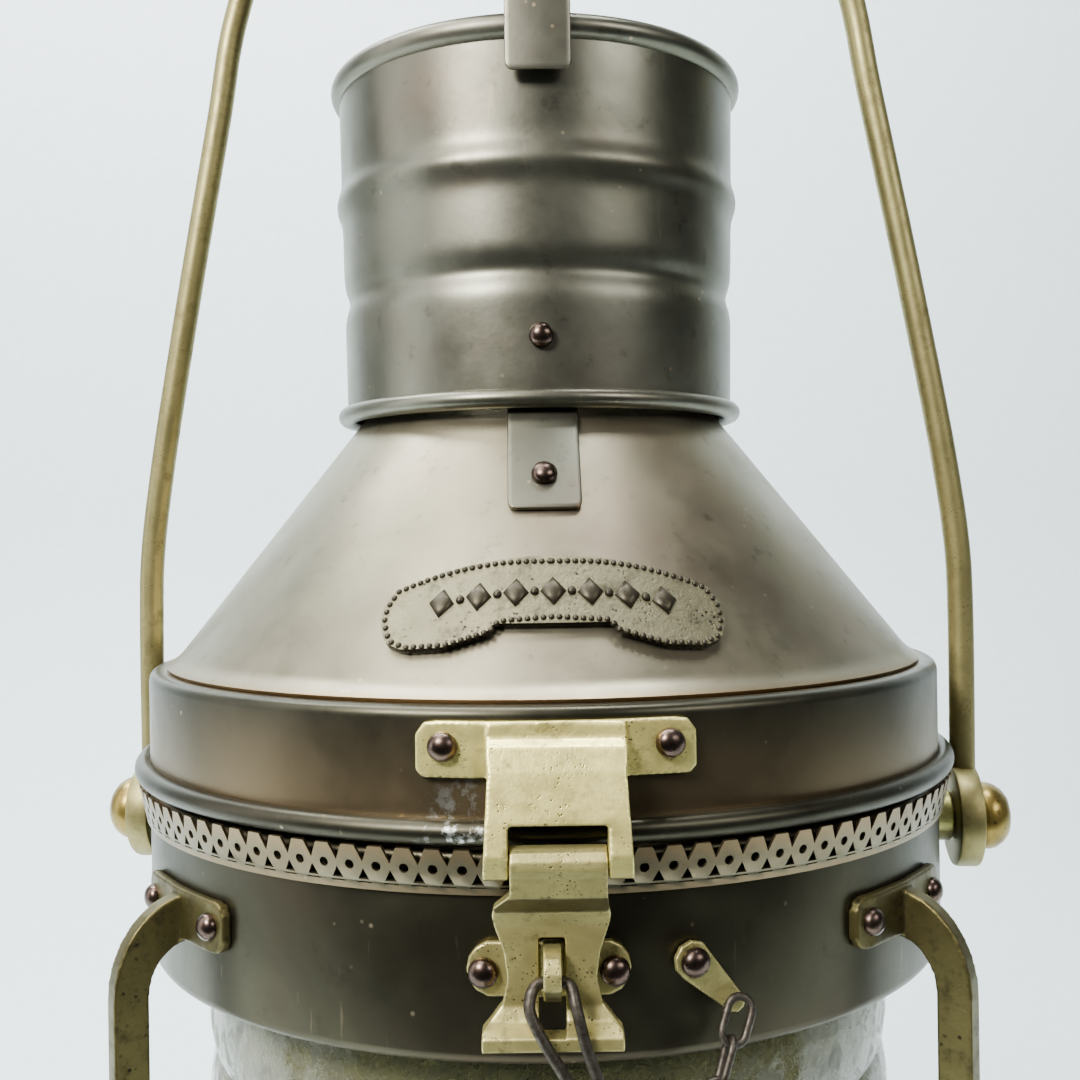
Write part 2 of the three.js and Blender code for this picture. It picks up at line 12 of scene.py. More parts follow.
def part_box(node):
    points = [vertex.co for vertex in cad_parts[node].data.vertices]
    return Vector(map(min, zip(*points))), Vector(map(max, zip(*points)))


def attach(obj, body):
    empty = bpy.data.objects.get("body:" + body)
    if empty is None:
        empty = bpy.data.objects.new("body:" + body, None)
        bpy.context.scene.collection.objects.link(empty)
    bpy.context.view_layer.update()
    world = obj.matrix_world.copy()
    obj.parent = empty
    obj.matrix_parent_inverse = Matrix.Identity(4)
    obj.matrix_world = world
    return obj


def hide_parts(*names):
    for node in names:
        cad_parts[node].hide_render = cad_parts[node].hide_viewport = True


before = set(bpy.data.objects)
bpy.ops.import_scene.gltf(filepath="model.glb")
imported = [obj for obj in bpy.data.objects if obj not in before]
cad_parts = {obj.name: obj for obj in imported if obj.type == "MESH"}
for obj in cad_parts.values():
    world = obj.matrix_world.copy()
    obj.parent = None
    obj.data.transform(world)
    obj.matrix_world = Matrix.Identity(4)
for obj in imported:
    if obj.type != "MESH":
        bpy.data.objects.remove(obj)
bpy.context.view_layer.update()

MM = 0.001
ROUND = 160  # segments round the big shells
SHEET = 1.4  # thickness of the spun shells
GAP = 0.3  # between pieces that touch
DRUM_R = 125
DRUM_Z = (200, 250.5)
BASE_TOP_Z = 49
BEAD_R = 126.6
BEAD_Z = 255
BEAD_ROLL = 3
SKIRT_TOP_Z = 284
CONE_FOOT = (118.2, 284.8)
CONE_HEAD = (60, 358)
FLUE_R = 50
COWL_R = (62.8, 64.4)
COWL_Z = (362.3, 467)
COWL_RIVET_Z = 380
SWAGE_OUT_Z = 430
SWAGE_IN_Z = 399
SWAGE_DEPTH = 1.6
SWAGE_WIDTH = 4.2
CAP_R = 66
CAP_Z = (532, 550)
LENS_R = 108.5
LENS_RIBS = 5
LEDGE_R = (97, 109)  # the ledges that hold the lens at both ends
FONT_R = 70
GALLERY_UNITS = 113
GALLERY_FOOT = (125.8, 240.4)
GALLERY_LIP = (128.1, 251.3)
GALLERY_R = 127
PLATE = 2  # thickness of the hasp's and staple's plates
RIVET_R = 3.6
RIVET_HEIGHT = 3
GUARD_AZIMUTHS = (48.5, 130, -130, -51)
GUARD_FOOT_Z = 224
GUARD_RIVET_X = 17.6  # each side of the bar's middle
TRUNNION_Z = 231.5
TRUNNION_YAW = -6
BAIL_R = 135
BAIL_CROWN_Z = 606
ROD_R = 4
EYE_R = 16
EYE_HALF = 3.8
STRAP_AZIMUTHS = (0.8, 120.8, 240.8)
CAP_LEG_AZIMUTHS = (0.8, 180.8)
NAMEPLATE_AZIMUTH = 1.6
NAMEPLATE_Z = (288, 328)  # the cone's stretch that the plate is laid out on
HASP_X = 2.8  # the hasp sits a little right of the middle
HASP_RIVET_X = 26  # each side of the hasp's middle
HASP_RIVET_Z = 275
STAPLE_X = (-14.5, 15.3)  # the two rivets
STAPLE_Z = 224.5
TAB_AZIMUTH = 18
TAB_RIVET = (-5, 223.3)  # across the tab, and up
FILLER_X = -42


# ---------- mesh helpers ----------

def arc(centre, radius, start, end, steps):
    """Points on an arc, with angles in degrees."""
    angles = [math.radians(start + (end - start) * i / steps) for i in range(steps + 1)]
    return [(centre[0] + radius * math.cos(a), centre[1] + radius * math.sin(a)) for a in angles]


def rounded(points, radius, steps=4):
    """The same corners with each one rounded off; the line stays open."""
    out = [points[0]]
    for before, corner, after in zip(points, points[1:], points[2:]):
        b, c, a = Vector(before), Vector(corner), Vector(after)
        reach = min(radius, (b - c).length * 0.45, (a - c).length * 0.45)
        start = c + (b - c).normalized() * reach
        end = c + (a - c).normalized() * reach
        for i in range(steps + 1):
            t = i / steps
            out.append(tuple((1 - t) ** 2 * start + 2 * t * (1 - t) * c + t ** 2 * end))
    return out + [points[-1]]


def rounded_loop(points, radius, steps=4):
    """A closed outline with rounded corners."""
    ring = [points[-1], *points, points[0]]
    return rounded(ring, radius, steps)[1:-1]


def offset_path(path, distance):
    """The path moved to its left by a distance."""
    points = [Vector(p) for p in path]
    out = []
    for i, point in enumerate(points):
        before = (point - points[i - 1]).normalized() if i else None
        after = (points[i + 1] - point).normalized() if i + 1 < len(points) else None
        before, after = before or after, after or before
        left = Vector((-before.y - after.y, before.x + after.x)).normalized()
        normal = Vector((-before.y, before.x))
        out.append(tuple(point + left * distance / max(left.dot(normal), 0.4)))
    return out


def bent_sheet(path):
    """The closed outline of sheet whose middle follows a path."""
    return offset_path(path, SHEET / 2) + offset_path(path, -SHEET / 2)[::-1]


def new_object(name, bm, smooth=40):
    bmesh.ops.remove_doubles(bm, verts=bm.verts, dist=1e-6)
    bmesh.ops.recalc_face_normals(bm, faces=bm.faces)
    mesh = bpy.data.meshes.new(name)
    bm.to_mesh(mesh)
    bm.free()
    mesh.shade_smooth()
    mesh.set_sharp_from_angle(angle=math.radians(smooth))
    obj = bpy.data.objects.new(name, mesh)
    bpy.context.collection.objects.link(obj)
    return obj


def add_lathe(bm, outline, segments):
    """Turns a closed outline of (radius, height) about Z. Points on the axis are shared."""
    rings = []
    for radius, height in outline:
        if radius < 1e-6:
            rings.append([bm.verts.new((0, 0, height * MM))] * segments)
            continue
        rings.append([bm.verts.new((radius * MM * math.cos(a), radius * MM * math.sin(a), height * MM))
                      for a in (2 * math.pi * i / segments for i in range(segments))])
    for i, ring in enumerate(rings):
        following = rings[(i + 1) % len(rings)]
        for k in range(segments):
            n = (k + 1) % segments
            corners = list(dict.fromkeys((ring[k], ring[n], following[n], following[k])))
            if len(corners) > 2:
                bm.faces.new(corners)


def lathe(name, *outlines, segments=ROUND, smooth=40):
    bm = bmesh.new()
    for outline in outlines:
        add_lathe(bm, outline, segments)
    return new_object(name, bm, smooth)


def catmull_rom(points, steps):
    """Points along a centripetal Catmull-Rom curve, with steps spans between each two given points."""
    given = [Vector(p) for p in points]
    given = [2 * given[0] - given[1], *given, 2 * given[-1] - given[-2]]
    out = []
    for p0, p1, p2, p3 in zip(given, given[1:], given[2:], given[3:]):
        t1 = math.sqrt((p1 - p0).length)
        t2 = t1 + math.sqrt((p2 - p1).length)
        t3 = t2 + math.sqrt((p3 - p2).length)
        for i in range(steps):
            t = t1 + (t2 - t1) * i / steps
            a1 = p0.lerp(p1, t / t1)
            a2 = p1.lerp(p2, (t - t1) / (t2 - t1))
            a3 = p2.lerp(p3, (t - t2) / (t3 - t2))
            b1 = a1.lerp(a2, t / t2)
            b2 = a2.lerp(a3, (t - t1) / (t3 - t1))
            out.append(b1.lerp(b2, (t - t1) / (t2 - t1)))
    return out + [given[-2]]


def add_tube(bm, points, radius, sides=16, closed=False):
    """A round tube along points in mm, with domed ends if it is open."""
    count = len(points)
    normal = None
    rings = []
    for i, point in enumerate(points):
        if closed:
            along = (points[(i + 1) % count] - points[i - 1]).normalized()
        else:
            along = (points[min(i + 1, count - 1)] - points[max(i - 1, 0)]).normalized()
        if normal is None:
            normal = along.orthogonal().normalized()
        normal = (normal - along * normal.dot(along)).normalized()
        side = along.cross(normal)
        rings.append([bm.verts.new((point + radius * (math.cos(a) * normal + math.sin(a) * side)) * MM)
                      for a in (2 * math.pi * k / sides for k in range(sides))])
    pairs = list(zip(rings, rings[1:]))
    if closed:
        # the last ring meets the first at the rotation that twists the skin least
        last = rings[-1]
        shift = min(range(sides), key=lambda s: (last[0].co - rings[0][s].co).length)
        pairs.append((last, rings[0][shift:] + rings[0][:shift]))
    for ring, following in pairs:
        for k in range(sides):
            n = (k + 1) % sides
            bm.faces.new((ring[k], ring[n], following[n], following[k]))
    if closed:
        return
    for ring, point, inward in ((rings[0], points[0], points[1]), (rings[-1], points[-1], points[-2])):
        out = (point - inward).normalized()
        tip = bm.verts.new((point + out * radius * 0.45) * MM)
        middle = [bm.verts.new((v.co - point * MM) * 0.75 + (point + out * radius * 0.3) * MM) for v in ring]
        for k in range(sides):
            n = (k + 1) % sides
            bm.faces.new((ring[k], ring[n], middle[n], middle[k]))
            bm.faces.new((middle[k], middle[n], tip))


def modify(obj, kind, **values):
    modifier = obj.modifiers.new(kind.title(), kind)
    for key, value in values.items():
        setattr(modifier, key, value)
    return modifier


def apply_modifiers(obj):
    """Turns the object's modifiers into its mesh."""
    graph = bpy.context.evaluated_depsgraph_get()
    mesh = bpy.data.meshes.new_from_object(obj.evaluated_get(graph))
    obj.modifiers.clear()
    obj.data = mesh
    mesh.shade_smooth()


def path_frame(path):
    """A function that gives the point and outward normal at a distance along a path of (radius, height)."""
    points = [Vector(p) for p in path]
    lengths = [0.0]
    for a, b in zip(points, points[1:]):
        lengths.append(lengths[-1] + (b - a).length)

    def at(distance):
        i = 0
        while i < len(points) - 2 and distance > lengths[i + 1]:
            i += 1
        along = (points[i + 1] - points[i]).normalized()
        return points[i] + along * (distance - lengths[i]), Vector((along.y, -along.x))

    return at, lengths[-1]


def wrapped_plate(name, outline, path, thickness, azimuth=0, cell=1.5, bevel=0.35):
    """Sheet cut to an outline of (sideways, distance along the path), then bent round Z over the path."""
    at, _ = path_frame(path)
    bm = bmesh.new()
    bm.faces.new([bm.verts.new((u, s, 0)) for u, s in outline])
    for axis in (0, 1):
        low = min(p[axis] for p in outline)
        high = max(p[axis] for p in outline)
        count = int((high - low) / cell)
        for i in range(1, count):
            where = [0, 0, 0]
            where[axis] = low + (high - low) * i / count
            normal = [0, 0, 0]
            normal[axis] = 1
            everything = bm.verts[:] + bm.edges[:] + bm.faces[:]
            bmesh.ops.bisect_plane(bm, geom=everything, plane_co=where, plane_no=normal)
    bmesh.ops.triangulate(bm, faces=[f for f in bm.faces if len(f.verts) > 4])
    for vert in bm.verts:
        point, _ = at(vert.co.y)
        angle = vert.co.x / point.x + math.radians(azimuth) - math.pi / 2
        vert.co = (point.x * math.cos(angle) * MM, point.x * math.sin(angle) * MM, point.y * MM)
    bmesh.ops.recalc_face_normals(bm, faces=bm.faces)
    outward = 0
    for face in bm.faces:
        middle = face.calc_center_median()
        outward += face.normal.dot(Vector((middle.x, middle.y, 0)))
    if outward < 0:
        bmesh.ops.reverse_faces(bm, faces=bm.faces)
    mesh = bpy.data.meshes.new(name)
    bm.to_mesh(mesh)
    bm.free()
    obj = bpy.data.objects.new(name, mesh)
    bpy.context.collection.objects.link(obj)
    modify(obj, "SOLIDIFY", thickness=thickness * MM, offset=0, use_even_offset=True)
    modify(obj, "BEVEL", width=bevel * MM, segments=2, limit_method="ANGLE", angle_limit=math.radians(50))
    apply_modifiers(obj)
    return obj


def softened(name, node, voxel=0.45, rounds=6):
    """A casting: the CAD node's own shape with its edges worn round."""
    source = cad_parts[node]
    obj = bpy.data.objects.new(name, source.data.copy())
    obj.data.materials.clear()
    bpy.context.collection.objects.link(obj)
    modify(obj, "REMESH", mode="VOXEL", voxel_size=voxel * MM)
    modify(obj, "SMOOTH", factor=0.5, iterations=rounds)
    apply_modifiers(obj)
    return obj


# ---------- materials ----------

def plug(tree, value, socket):
    """Links an output socket to an input, or sets the input to a plain value."""
    if isinstance(value, bpy.types.NodeSocket):
        tree.links.new(value, socket)
    else:
        socket.default_value = value


class Paint:
    """Builds one node material around a Principled shader. Its patterns are fixed to the object."""

    def __init__(self, name):
        self.material = bpy.data.materials.new(name)
        self.material.use_nodes = True
        self.tree = self.material.node_tree
        self.shader = self.tree.nodes["Principled BSDF"]
        self.place = self.tree.nodes.new("ShaderNodeTexCoord").outputs["Object"]

    def node(self, kind, **inputs):
        made = self.tree.nodes.new(kind)
        for key, value in inputs.items():
            plug(self.tree, value, made.inputs[key.replace("_", " ")])
        return made

    def noise(self, size_mm, detail=4, roughness=0.55, stretch=(1, 1, 1), distortion=0.0):
        scaled = self.node("ShaderNodeMapping", Vector=self.place, Scale=stretch).outputs["Vector"]
        return self.node("ShaderNodeTexNoise", Vector=scaled, Scale=1000 / size_mm, Detail=detail,
                         Roughness=roughness, Distortion=distortion).outputs["Fac"]

    def spots(self, size_mm, reach):
        """1 inside small round spots and 0 elsewhere."""
        cells = self.node("ShaderNodeTexVoronoi", Vector=self.place, Scale=1000 / size_mm).outputs["Distance"]
        return self.ramp(cells, reach, reach * 0.5)

    def ramp(self, value, low, high, to_low=0.0, to_high=1.0):
        made = self.node("ShaderNodeMapRange", Value=value)
        for key, number in zip(("From Min", "From Max", "To Min", "To Max"), (low, high, to_low, to_high)):
            made.inputs[key].default_value = number
        return made.outputs["Result"]

    def mix(self, factor, first, second):
        made = self.tree.nodes.new("ShaderNodeMix")
        made.data_type = "RGBA"
        # a Mix node's colour inputs are its 7th and 8th
        for index, value in zip((0, 6, 7), (factor, first, second)):
            plug(self.tree, value, made.inputs[index])
        return made.outputs[2]

    def math(self, operation, first, second):
        made = self.tree.nodes.new("ShaderNodeMath")
        made.operation = operation
        made.use_clamp = True
        for socket, value in zip(made.inputs, (first, second)):
            plug(self.tree, value, socket)
        return made.outputs[0]

    def edges(self, low, high):
        """Rises from 0 to 1 on outside edges."""
        return self.ramp(self.node("ShaderNodeNewGeometry").outputs["Pointiness"], low, high)

    def bump(self, height, strength, distance_mm):
        made = self.node("ShaderNodeBump", Height=height, Strength=strength, Distance=distance_mm * MM)
        self.tree.links.new(made.outputs["Normal"], self.shader.inputs["Normal"])

    def set(self, **inputs):
        for key, value in inputs.items():
            plug(self.tree, value, self.shader.inputs[key.replace("_", " ")])
        return self.material


def srgb(red, green, blue):
    """A linear colour from 0-255 display values."""
    def linear(value):
        value /= 255
        return value / 12.92 if value <= 0.04045 else ((value + 0.055) / 1.055) ** 2.4
    return (linear(red), linear(green), linear(blue), 1)


def aged_bronze(name, base, light, red, residue=None):
    """Rolled sheet gone dark: cloudy tone, a reddish cast in places, hairline scratches and pale specks.

    residue is a spot (place in mm, reach in mm) with a crust of pale polish left on it."""
    paint = Paint(name)
    clouds = paint.ramp(paint.noise(70, 6, 0.6, distortion=0.6), 0.34, 0.68)
    tone = paint.mix(clouds, base, light)
    tone = paint.mix(paint.ramp(paint.noise(48, 3), 0.52, 0.78, 0, 0.55), tone, red)
    stains = paint.ramp(paint.noise(9, 7, 0.7), 0.58, 0.74, 0, 0.5)
    tone = paint.mix(stains, tone, srgb(46, 40, 33))
    hairlines = paint.ramp(paint.noise(22, 3, 0.5, stretch=(9, 9, 1)), 0.7, 0.74, 0, 0.25)
    tone = paint.mix(hairlines, tone, srgb(150, 134, 108))
    specks = paint.math("MULTIPLY", paint.spots(7, 0.1), paint.ramp(paint.noise(21), 0.5, 0.66))
    tone = paint.mix(specks, tone, srgb(176, 160, 130))
    tone = paint.mix(paint.edges(0.53, 0.6), tone, srgb(132, 114, 86))
    if residue:
        place, reach = residue
        near = paint.node("ShaderNodeVectorMath")
        near.operation = "DISTANCE"
        paint.tree.links.new(paint.place, near.inputs[0])
        near.inputs[1].default_value = tuple(v * MM for v in place)
        close = paint.ramp(near.outputs["Value"], reach * MM, reach * 0.2 * MM)
        crust = paint.math("MULTIPLY", close, paint.ramp(paint.noise(4, 6, 0.7), 0.5, 0.6))
        tone = paint.mix(crust, tone, srgb(196, 198, 192))
    paint.bump(paint.noise(2.2, 5, 0.6), 0.22, 0.12)
    rough = paint.ramp(paint.noise(30, 5, 0.65), 0.3, 0.7, 0.3, 0.44)
    return paint.set(Base_Color=tone, Roughness=rough, Metallic=0.95)


def cast_brass(name, base, dark, pit_size=2.4, pit_depth=0.35, roughness=(0.32, 0.5), shadow=None):
    """Worn sand-cast brass: pits, brown dirt, darker hollows and brighter edges.

    shadow is two values of the normal's upward part, between which faces turned down go dark with painted
    shade."""
    def scaled(factor):
        return tuple(min(1.0, factor * c) for c in base[:3]) + (1,)

    paint = Paint(name)
    tone = paint.mix(paint.ramp(paint.noise(14, 5, 0.6), 0.35, 0.7), base, scaled(0.78))
    pits = paint.math("MULTIPLY", paint.spots(pit_size, 0.3), paint.ramp(paint.noise(8), 0.48, 0.62))
    tone = paint.mix(pits, tone, dark)
    dirt = paint.ramp(paint.noise(6, 7, 0.72), 0.52, 0.7, 0, 0.7)
    tone = paint.mix(dirt, tone, dark)
    # darker where the surface curves inwards, in the hollows
    hollows = paint.ramp(paint.node("ShaderNodeNewGeometry").outputs["Pointiness"], 0.49, 0.44, 0, 0.9)
    tone = paint.mix(hollows, tone, dark)
    tone = paint.mix(paint.edges(0.53, 0.6), tone, scaled(1.25))
    # painted shade: faces turned down are mixed towards the dark colour
    if shadow:
        facing = paint.node("ShaderNodeTexCoord").outputs["Normal"]
        upward = paint.node("ShaderNodeSeparateXYZ", Vector=facing).outputs["Z"]
        tone = paint.mix(paint.ramp(upward, *shadow, 0, 0.92), tone, dark)
    grain = paint.math("SUBTRACT", paint.noise(1.6, 5, 0.65), paint.math("MULTIPLY", pits, 0.8))
    paint.bump(grain, 0.5, pit_depth)
    rough = paint.ramp(paint.noise(6, 4), 0.3, 0.7, *roughness)
    return paint.set(Base_Color=tone, Roughness=rough, Metallic=0.8)


def glass():
    """Old pressed glass: yellow-green, with a mottled film of dust and small ripples."""
    paint = Paint("lens_glass")
    film = paint.ramp(paint.noise(9, 8, 0.75, distortion=1.2), 0.4, 0.66, 0.06, 0.55)
    tone = paint.mix(film, srgb(150, 147, 110), srgb(34, 31, 20))
    paint.bump(paint.noise(11, 4), 0.5, 1.4)
    return paint.set(Base_Color=tone, Roughness=film, Transmission_Weight=0.6, IOR=1.5)


def plain(name, base, shade, size_mm, roughness, metallic=0.0, depth=0.2):
    """A quiet surface with one scale of mottling."""
    paint = Paint(name)
    grain = paint.noise(size_mm, 6, 0.65)
    tone = paint.mix(paint.ramp(grain, 0.35, 0.7), base, shade)
    paint.bump(grain, 0.4, depth)
    rough = paint.ramp(paint.noise(size_mm * 2), 0.3, 0.7, roughness - 0.08, roughness + 0.08)
    return paint.set(Base_Color=tone, Roughness=rough, Metallic=metallic)


BRONZE = aged_bronze("aged_bronze", srgb(94, 93, 80), srgb(120, 119, 106), srgb(106, 90, 78))
# painted shade: a darker copy of the aged bronze for the hood's skirt; the polish residue on it is real
SKIRT_BRONZE_PAINTED_SHADE = aged_bronze("skirt_bronze_painted_shade", srgb(58, 56, 46), srgb(76, 73, 60), srgb(66, 57, 47),
                           ((-20, -128, 256.5), 13))
# painted light: a lighter copy of the aged bronze for the cone, whose slope faces the light
CONE_BRONZE_PAINTED_LIGHT = aged_bronze("cone_bronze_painted_light", srgb(124, 118, 98), srgb(150, 142, 120), srgb(134, 112, 96))
# painted shade: a darker copy of the aged bronze for the drum, the base tray and the base plate
DRUM_BRONZE_PAINTED_SHADE = aged_bronze("drum_bronze_painted_shade", srgb(62, 59, 46), srgb(80, 76, 60), srgb(76, 60, 48))
GALLERY_BRONZE = aged_bronze("gallery_bronze", srgb(104, 101, 83), srgb(132, 128, 106), srgb(110, 92, 76))
# painted highlight: a much brighter copy of the flap's cast brass; faces turned down get painted shade
BRASS_PAINTED_HIGHLIGHT = cast_brass("cast_brass", srgb(255, 240, 150), srgb(60, 50, 26), 1.1, 0.14, shadow=(-0.1, -0.45))
# faces turned down get painted shade
FLAP_BRASS = cast_brass("flap_brass", srgb(202, 190, 124), srgb(48, 41, 22), 1.1, 0.16,
                        shadow=(-0.1, -0.45))
GUARD_BRASS = cast_brass("guard_brass", srgb(94, 86, 50), srgb(32, 27, 16), 2.2, 0.2)
# the plate's lower edges, turned down, get painted shade
NAME_FIELD = cast_brass("nameplate_field", srgb(118, 113, 88), srgb(18, 16, 12), 1.6, 0.5,
                        (0.4, 0.55), shadow=(0.5, 0.25))
NAME_RELIEF = cast_brass("nameplate_relief", srgb(56, 51, 40), srgb(20, 18, 14), 1.5, 0.1, (0.35, 0.5))
BAIL_BRASS = cast_brass("bail_brass", srgb(150, 140, 92), srgb(96, 86, 52), 0.9, 0.05, (0.38, 0.52))
KNOB_BRASS = cast_brass("knob_brass", srgb(150, 128, 66), srgb(66, 52, 26), 3.0, 0.1, (0.26, 0.38))
RIVET = plain("rivet_copper", srgb(104, 86, 76), srgb(70, 58, 54), 3, 0.3, 1.0, 0.1)
STEEL = plain("dark_wire", srgb(92, 86, 78), srgb(54, 48, 42), 1.5, 0.5, 1.0, 0.15)
RUBBER = plain("seal_rubber", srgb(48, 44, 40), srgb(30, 28, 26), 4, 0.8)
WICK = plain("wick_cotton", srgb(228, 218, 196), srgb(190, 178, 150), 0.8, 0.9, 0.0, 0.4)
GLASS = glass()


def dress(obj, material, body, slot, *nodes):
    """Gives a piece its material and body, and hides the CAD nodes that it stands for."""
    obj.data.materials.clear()
    obj.data.materials.append(material)
    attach(obj, body)
    if nodes:
        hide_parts(*nodes)
    return obj


# ---------- base, lens and drum ----------

def make_base():
    wall = DRUM_R - SHEET / 2
    inner, outer = LEDGE_R
    ledge, top = BASE_TOP_Z - 9, BASE_TOP_Z - SHEET / 2
    upper = rounded([(inner, ledge), (outer, ledge), (outer, top), (wall, top), (wall, 4)], 3)
    foot = arc((BEAD_R, BEAD_ROLL), BEAD_ROLL, 0, 345, 23)
    dress(lathe("base_tray_skin", bent_sheet(upper), foot), DRUM_BRONZE_PAINTED_SHADE, "body", "bronze", "base_tray")
    rim = DRUM_R - SHEET - GAP
    seat = FONT_R + GAP
    outline = [(0, 0), (rim - 2, 0), (rim - 2, 4), (rim, 4), (rim, 5.4), (rim - 4, 5.4), (rim - 4, 2),
               (seat + 3, 2), (seat + 3, 12), (seat, 12), (seat, 2), (0, 2)]
    dress(lathe("base_plate_skin", outline), DRUM_BRONZE_PAINTED_SHADE, "body", "bronze", "base_plate")


def make_lens():
    low, high = BASE_TOP_Z - 7.7, DRUM_Z[0] + 8
    first, last, depth = 56, 194, 2.5
    steps = 90
    outer = []
    for i in range(steps + 1):
        t = i / steps
        # rounded ribs with sharp valleys between them
        height = abs(math.sin(math.pi * t * LENS_RIBS)) ** 0.6
        outer.append((LENS_R - depth + depth * height, first + (last - first) * t))
    outline = [(100, low), (LENS_R - 1, low), (LENS_R - 1, first - 2), *outer,
               (LENS_R - 1, last + 2), (LENS_R - 1, high), (100, high)]
    dress(lathe("lens_glass", outline), GLASS, "body", "glass", "lens")
    for tag, node in (("lower", "lens_gasket_lower"), ("upper", "lens_gasket_upper")):
        foot, top = (corner[2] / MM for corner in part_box(node))
        ring = [(98, foot + 0.4), (98.4, foot), (99.2, foot), (99.6, foot + 0.4), (99.6, top - 0.4),
                (99.2, top), (98.4, top), (98, top - 0.4)]
        dress(lathe(f"lens_seal_{tag}", ring), RUBBER, "body", "gasket", node)


def make_drum():
    low, high = DRUM_Z
    wall = DRUM_R - SHEET / 2
    inner, outer = LEDGE_R
    ledge, foot, rim = low + 9.5, low + SHEET / 2, high - SHEET / 2
    path = rounded([(inner, ledge), (outer, ledge), (outer, foot), (wall, foot), (wall, rim),
                    (113, rim)], 2.4)
    dress(lathe("drum_skin", bent_sheet(path)), DRUM_BRONZE_PAINTED_SHADE, "body", "bronze", "drum")


def make_gallery():
    """The pierced strip: each unit has a round hole, with a notch above and small openings below
    between it and the next."""
    foot, lip = Vector(GALLERY_FOOT), Vector(GALLERY_LIP)
    height = (lip - foot).length
    half = math.pi * GALLERY_R / GALLERY_UNITS
    notch, notch_depth = 1.8, 4.1
    wedge, wedge_foot, wedge_tip = 1.5, 2.6, 5.4
    slit, slit_low, slit_high = 1.9, 1.7, 2.05
    side = [(half, 0), (half, slit_low), (half - slit, slit_low), (half - slit, slit_high),
            (half, slit_high), (half, wedge_foot), (half - wedge, wedge_foot), (half, wedge_tip),
            (half, height - notch_depth), (half - notch, height)]
    outline = side + [(-u, s) for u, s in reversed(side)]
    hole = arc((0, height * 0.55), 1.2, 0, 330, 11)
    loops = [[Vector((u, s, 0)) for u, s in loop] for loop in (outline, hole)]
    flat = loops[0] + loops[1]
    triangles = tessellate_polygon(loops)
    bm = bmesh.new()
    for unit in range(GALLERY_UNITS):
        turn = 2 * math.pi * unit / GALLERY_UNITS
        verts = []
        for point in flat:
            on = foot.lerp(lip, point.y / height)
            angle = turn + point.x / GALLERY_R
            place = (on.x * math.cos(angle) * MM, on.x * math.sin(angle) * MM, on.y * MM)
            verts.append(bm.verts.new(place))
        for corners in triangles:
            bm.faces.new([verts[c] for c in corners])
    obj = new_object("gallery_pierced", bm, 30)
    modify(obj, "SOLIDIFY", thickness=0.8 * MM, offset=0)
    apply_modifiers(obj)
    obj.data.set_sharp_from_angle(angle=math.radians(30))
    dress(obj, GALLERY_BRONZE, "body", "bronze", "vent_gallery")


def add_rivet_head(bm, place):
    """A button head whose foot sits at the place's origin and whose axis is its Z."""
    fresh = bmesh.new()
    outline = [(0, 0), (RIVET_R, 0), (RIVET_R, 0.35)]
    outline += [(RIVET_R * math.cos(a), 0.35 + (RIVET_HEIGHT - 0.35) * math.sin(a))
                for a in (math.radians(15 * i) for i in range(1, 6))]
    outline += [(0, RIVET_HEIGHT)]
    add_lathe(fresh, outline, 28)
    fresh.transform(place)
    mesh = bpy.data.meshes.new("head")
    fresh.to_mesh(mesh)
    fresh.free()
    bm.from_mesh(mesh)
    bpy.data.meshes.remove(mesh)


def rivet_place(out, z, azimuth, lean=0):
    return (Matrix.Rotation(math.radians(azimuth), 4, "Z") @ Matrix.Translation((0, -out * MM, z * MM))
            @ Matrix.Rotation(math.radians(90 - lean), 4, "X"))


def make_rivet(node, body, out, z, azimuth, lean=0):
    bm = bmesh.new()
    add_rivet_head(bm, rivet_place(out, z, azimuth, lean))
    dress(new_object(f"{node}_head", bm), RIVET, body, "rivet", node)


def make_guards():
    mirror = DRUM_Z[0] + BASE_TOP_Z  # this less a height is the matching height on the base tray
    for i, azimuth in enumerate(GUARD_AZIMUTHS, 1):
        dress(softened(f"guard_{i}_casting", f"guard_{i}", 0.5, 5), GUARD_BRASS, "body", "cast_brass",
              f"guard_{i}")
        bm = bmesh.new()
        for z in (GUARD_FOOT_Z, mirror - GUARD_FOOT_Z):
            for side in (-1, 1):
                turn = math.degrees(side * GUARD_RIVET_X / (DRUM_R + 2))
                add_rivet_head(bm, rivet_place(DRUM_R + 2.7, z, azimuth + turn))
        dress(new_object(f"guard_{i}_rivets", bm), RIVET, "body", "rivet")


# ---------- bail ----------

def axle_matrix():
    return Matrix.Translation((0, 0, TRUNNION_Z * MM)) @ Matrix.Rotation(math.radians(TRUNNION_YAW), 4, "Z")


def side_lathe(name, outline, side, start, segments=40):
    """A turned piece on the bail's axle; its outline's heights run outward from start."""
    bm = bmesh.new()
    add_lathe(bm, outline, segments)
    turn = Matrix.Rotation(side * math.pi / 2, 4, "Y")
    bm.transform(axle_matrix() @ Matrix.Translation((side * start * MM, 0, 0)) @ turn)
    return new_object(name, bm)


